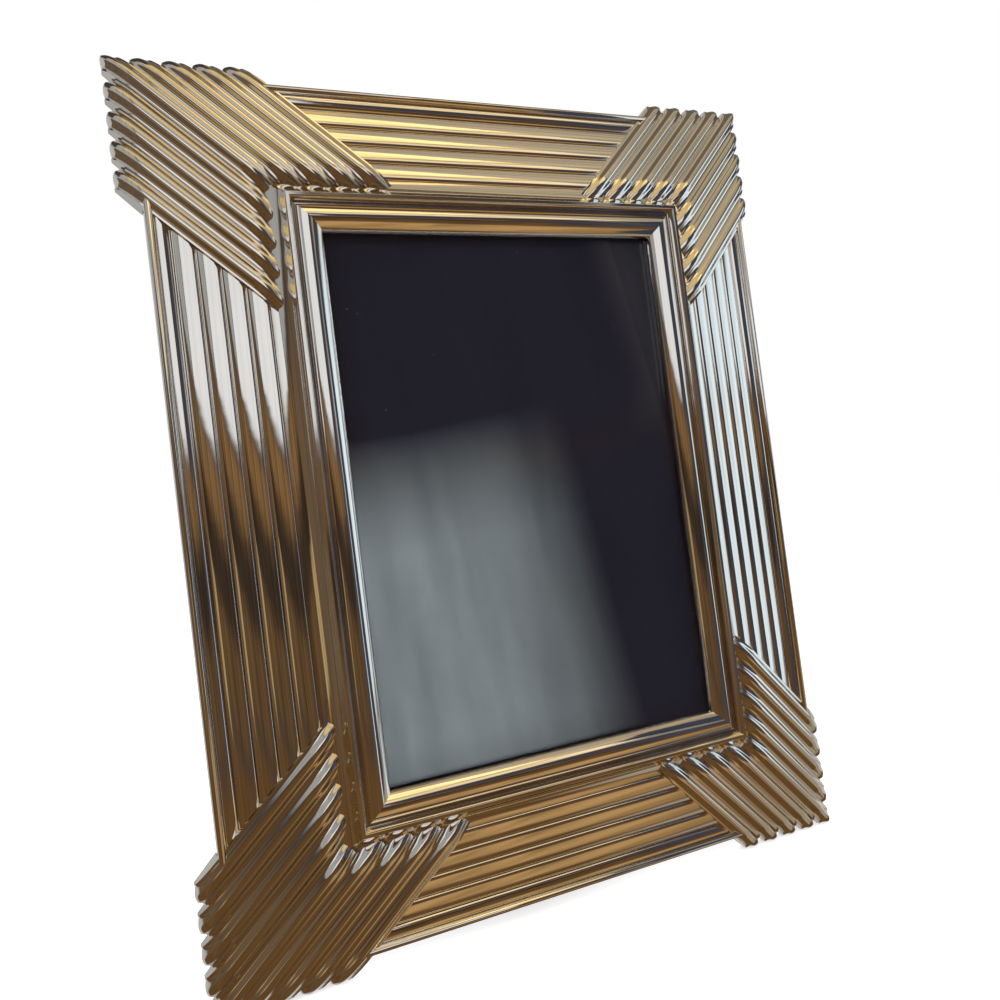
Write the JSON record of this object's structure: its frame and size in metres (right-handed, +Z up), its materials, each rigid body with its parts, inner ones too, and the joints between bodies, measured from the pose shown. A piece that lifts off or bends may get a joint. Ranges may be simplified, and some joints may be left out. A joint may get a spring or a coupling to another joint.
{
  "type": "easel photo frame",
  "caption": "Standing photo frame: a mirror-bright plated casting with reeded rails and ribbed corner bands, glazed, closed by a turn-button back with a folding easel strut.",
  "frame": {"origin": "middle of the bounding box's footprint, on the surface the frame stands on", "axes": "+Z up, +X to the right for someone facing the picture, the picture faces -Y and leans back towards +Y"},
  "size_m": [0.2238, 0.0826, 0.2647],
  "materials": {
    "silver_plate": "mirror-polished silver plate",
    "glass": "polished",
    "dark_paper": "matt",
    "grey_card": "matt",
    "velvet": "napped",
    "steel": "satin",
    "brass": "satin"
  },
  "bodies": {
    "frame": {"front_frame": "silver_plate", "glass_pane": "glass", "display_insert": "dark_paper", "filler_pad": "grey_card", "back_board": "velvet", "button_screw_1": "steel", "button_screw_2": "steel", "button_screw_3": "steel", "button_screw_4": "steel", "button_screw_5": "steel", "button_screw_6": "steel", "hinge_plate": "brass", "hinge_pin": "brass", "plate_rivet_1": "brass", "plate_rivet_2": "brass"},
    "strut": {"hinge_strap": "brass", "easel_strut": "velvet", "strap_rivet_1": "brass", "strap_rivet_2": "brass"},
    "button_1": {"turn_button_1": "steel"},
    "button_2": {"turn_button_2": "steel"},
    "button_3": {"turn_button_3": "steel"},
    "button_4": {"turn_button_4": "steel"},
    "button_5": {"turn_button_5": "steel"},
    "button_6": {"turn_button_6": "steel"}
  },
  "joints": [
    {"name": "strut_fold", "type": "hinge", "parent": "frame", "child": "strut", "pos_m": [0, 0.0079, 0.14068], "axis": [1, 0, 0], "range_deg": [-29, 0]},
    {"name": "button_1_turn", "type": "hinge", "parent": "frame", "child": "button_1", "pos_m": [-0.07095, -0.01351, 0.074], "axis": [0, -0.9613, 0.2756], "range_deg": [-90, 90]},
    {"name": "button_2_turn", "type": "hinge", "parent": "frame", "child": "button_2", "pos_m": [-0.07095, 0.00303, 0.13168], "axis": [0, -0.9613, 0.2756], "range_deg": [-90, 90]},
    {"name": "button_3_turn", "type": "hinge", "parent": "frame", "child": "button_3", "pos_m": [-0.07095, 0.01957, 0.18935], "axis": [0, -0.9613, 0.2756], "range_deg": [-90, 90]},
    {"name": "button_4_turn", "type": "hinge", "parent": "frame", "child": "button_4", "pos_m": [0.07095, -0.01351, 0.074], "axis": [0, -0.9613, 0.2756], "range_deg": [-90, 90]},
    {"name": "button_5_turn", "type": "hinge", "parent": "frame", "child": "button_5", "pos_m": [0.07095, 0.00303, 0.13168], "axis": [0, -0.9613, 0.2756], "range_deg": [-90, 90]},
    {"name": "button_6_turn", "type": "hinge", "parent": "frame", "child": "button_6", "pos_m": [0.07095, 0.01957, 0.18935], "axis": [0, -0.9613, 0.2756], "range_deg": [-90, 90]}
  ]
}
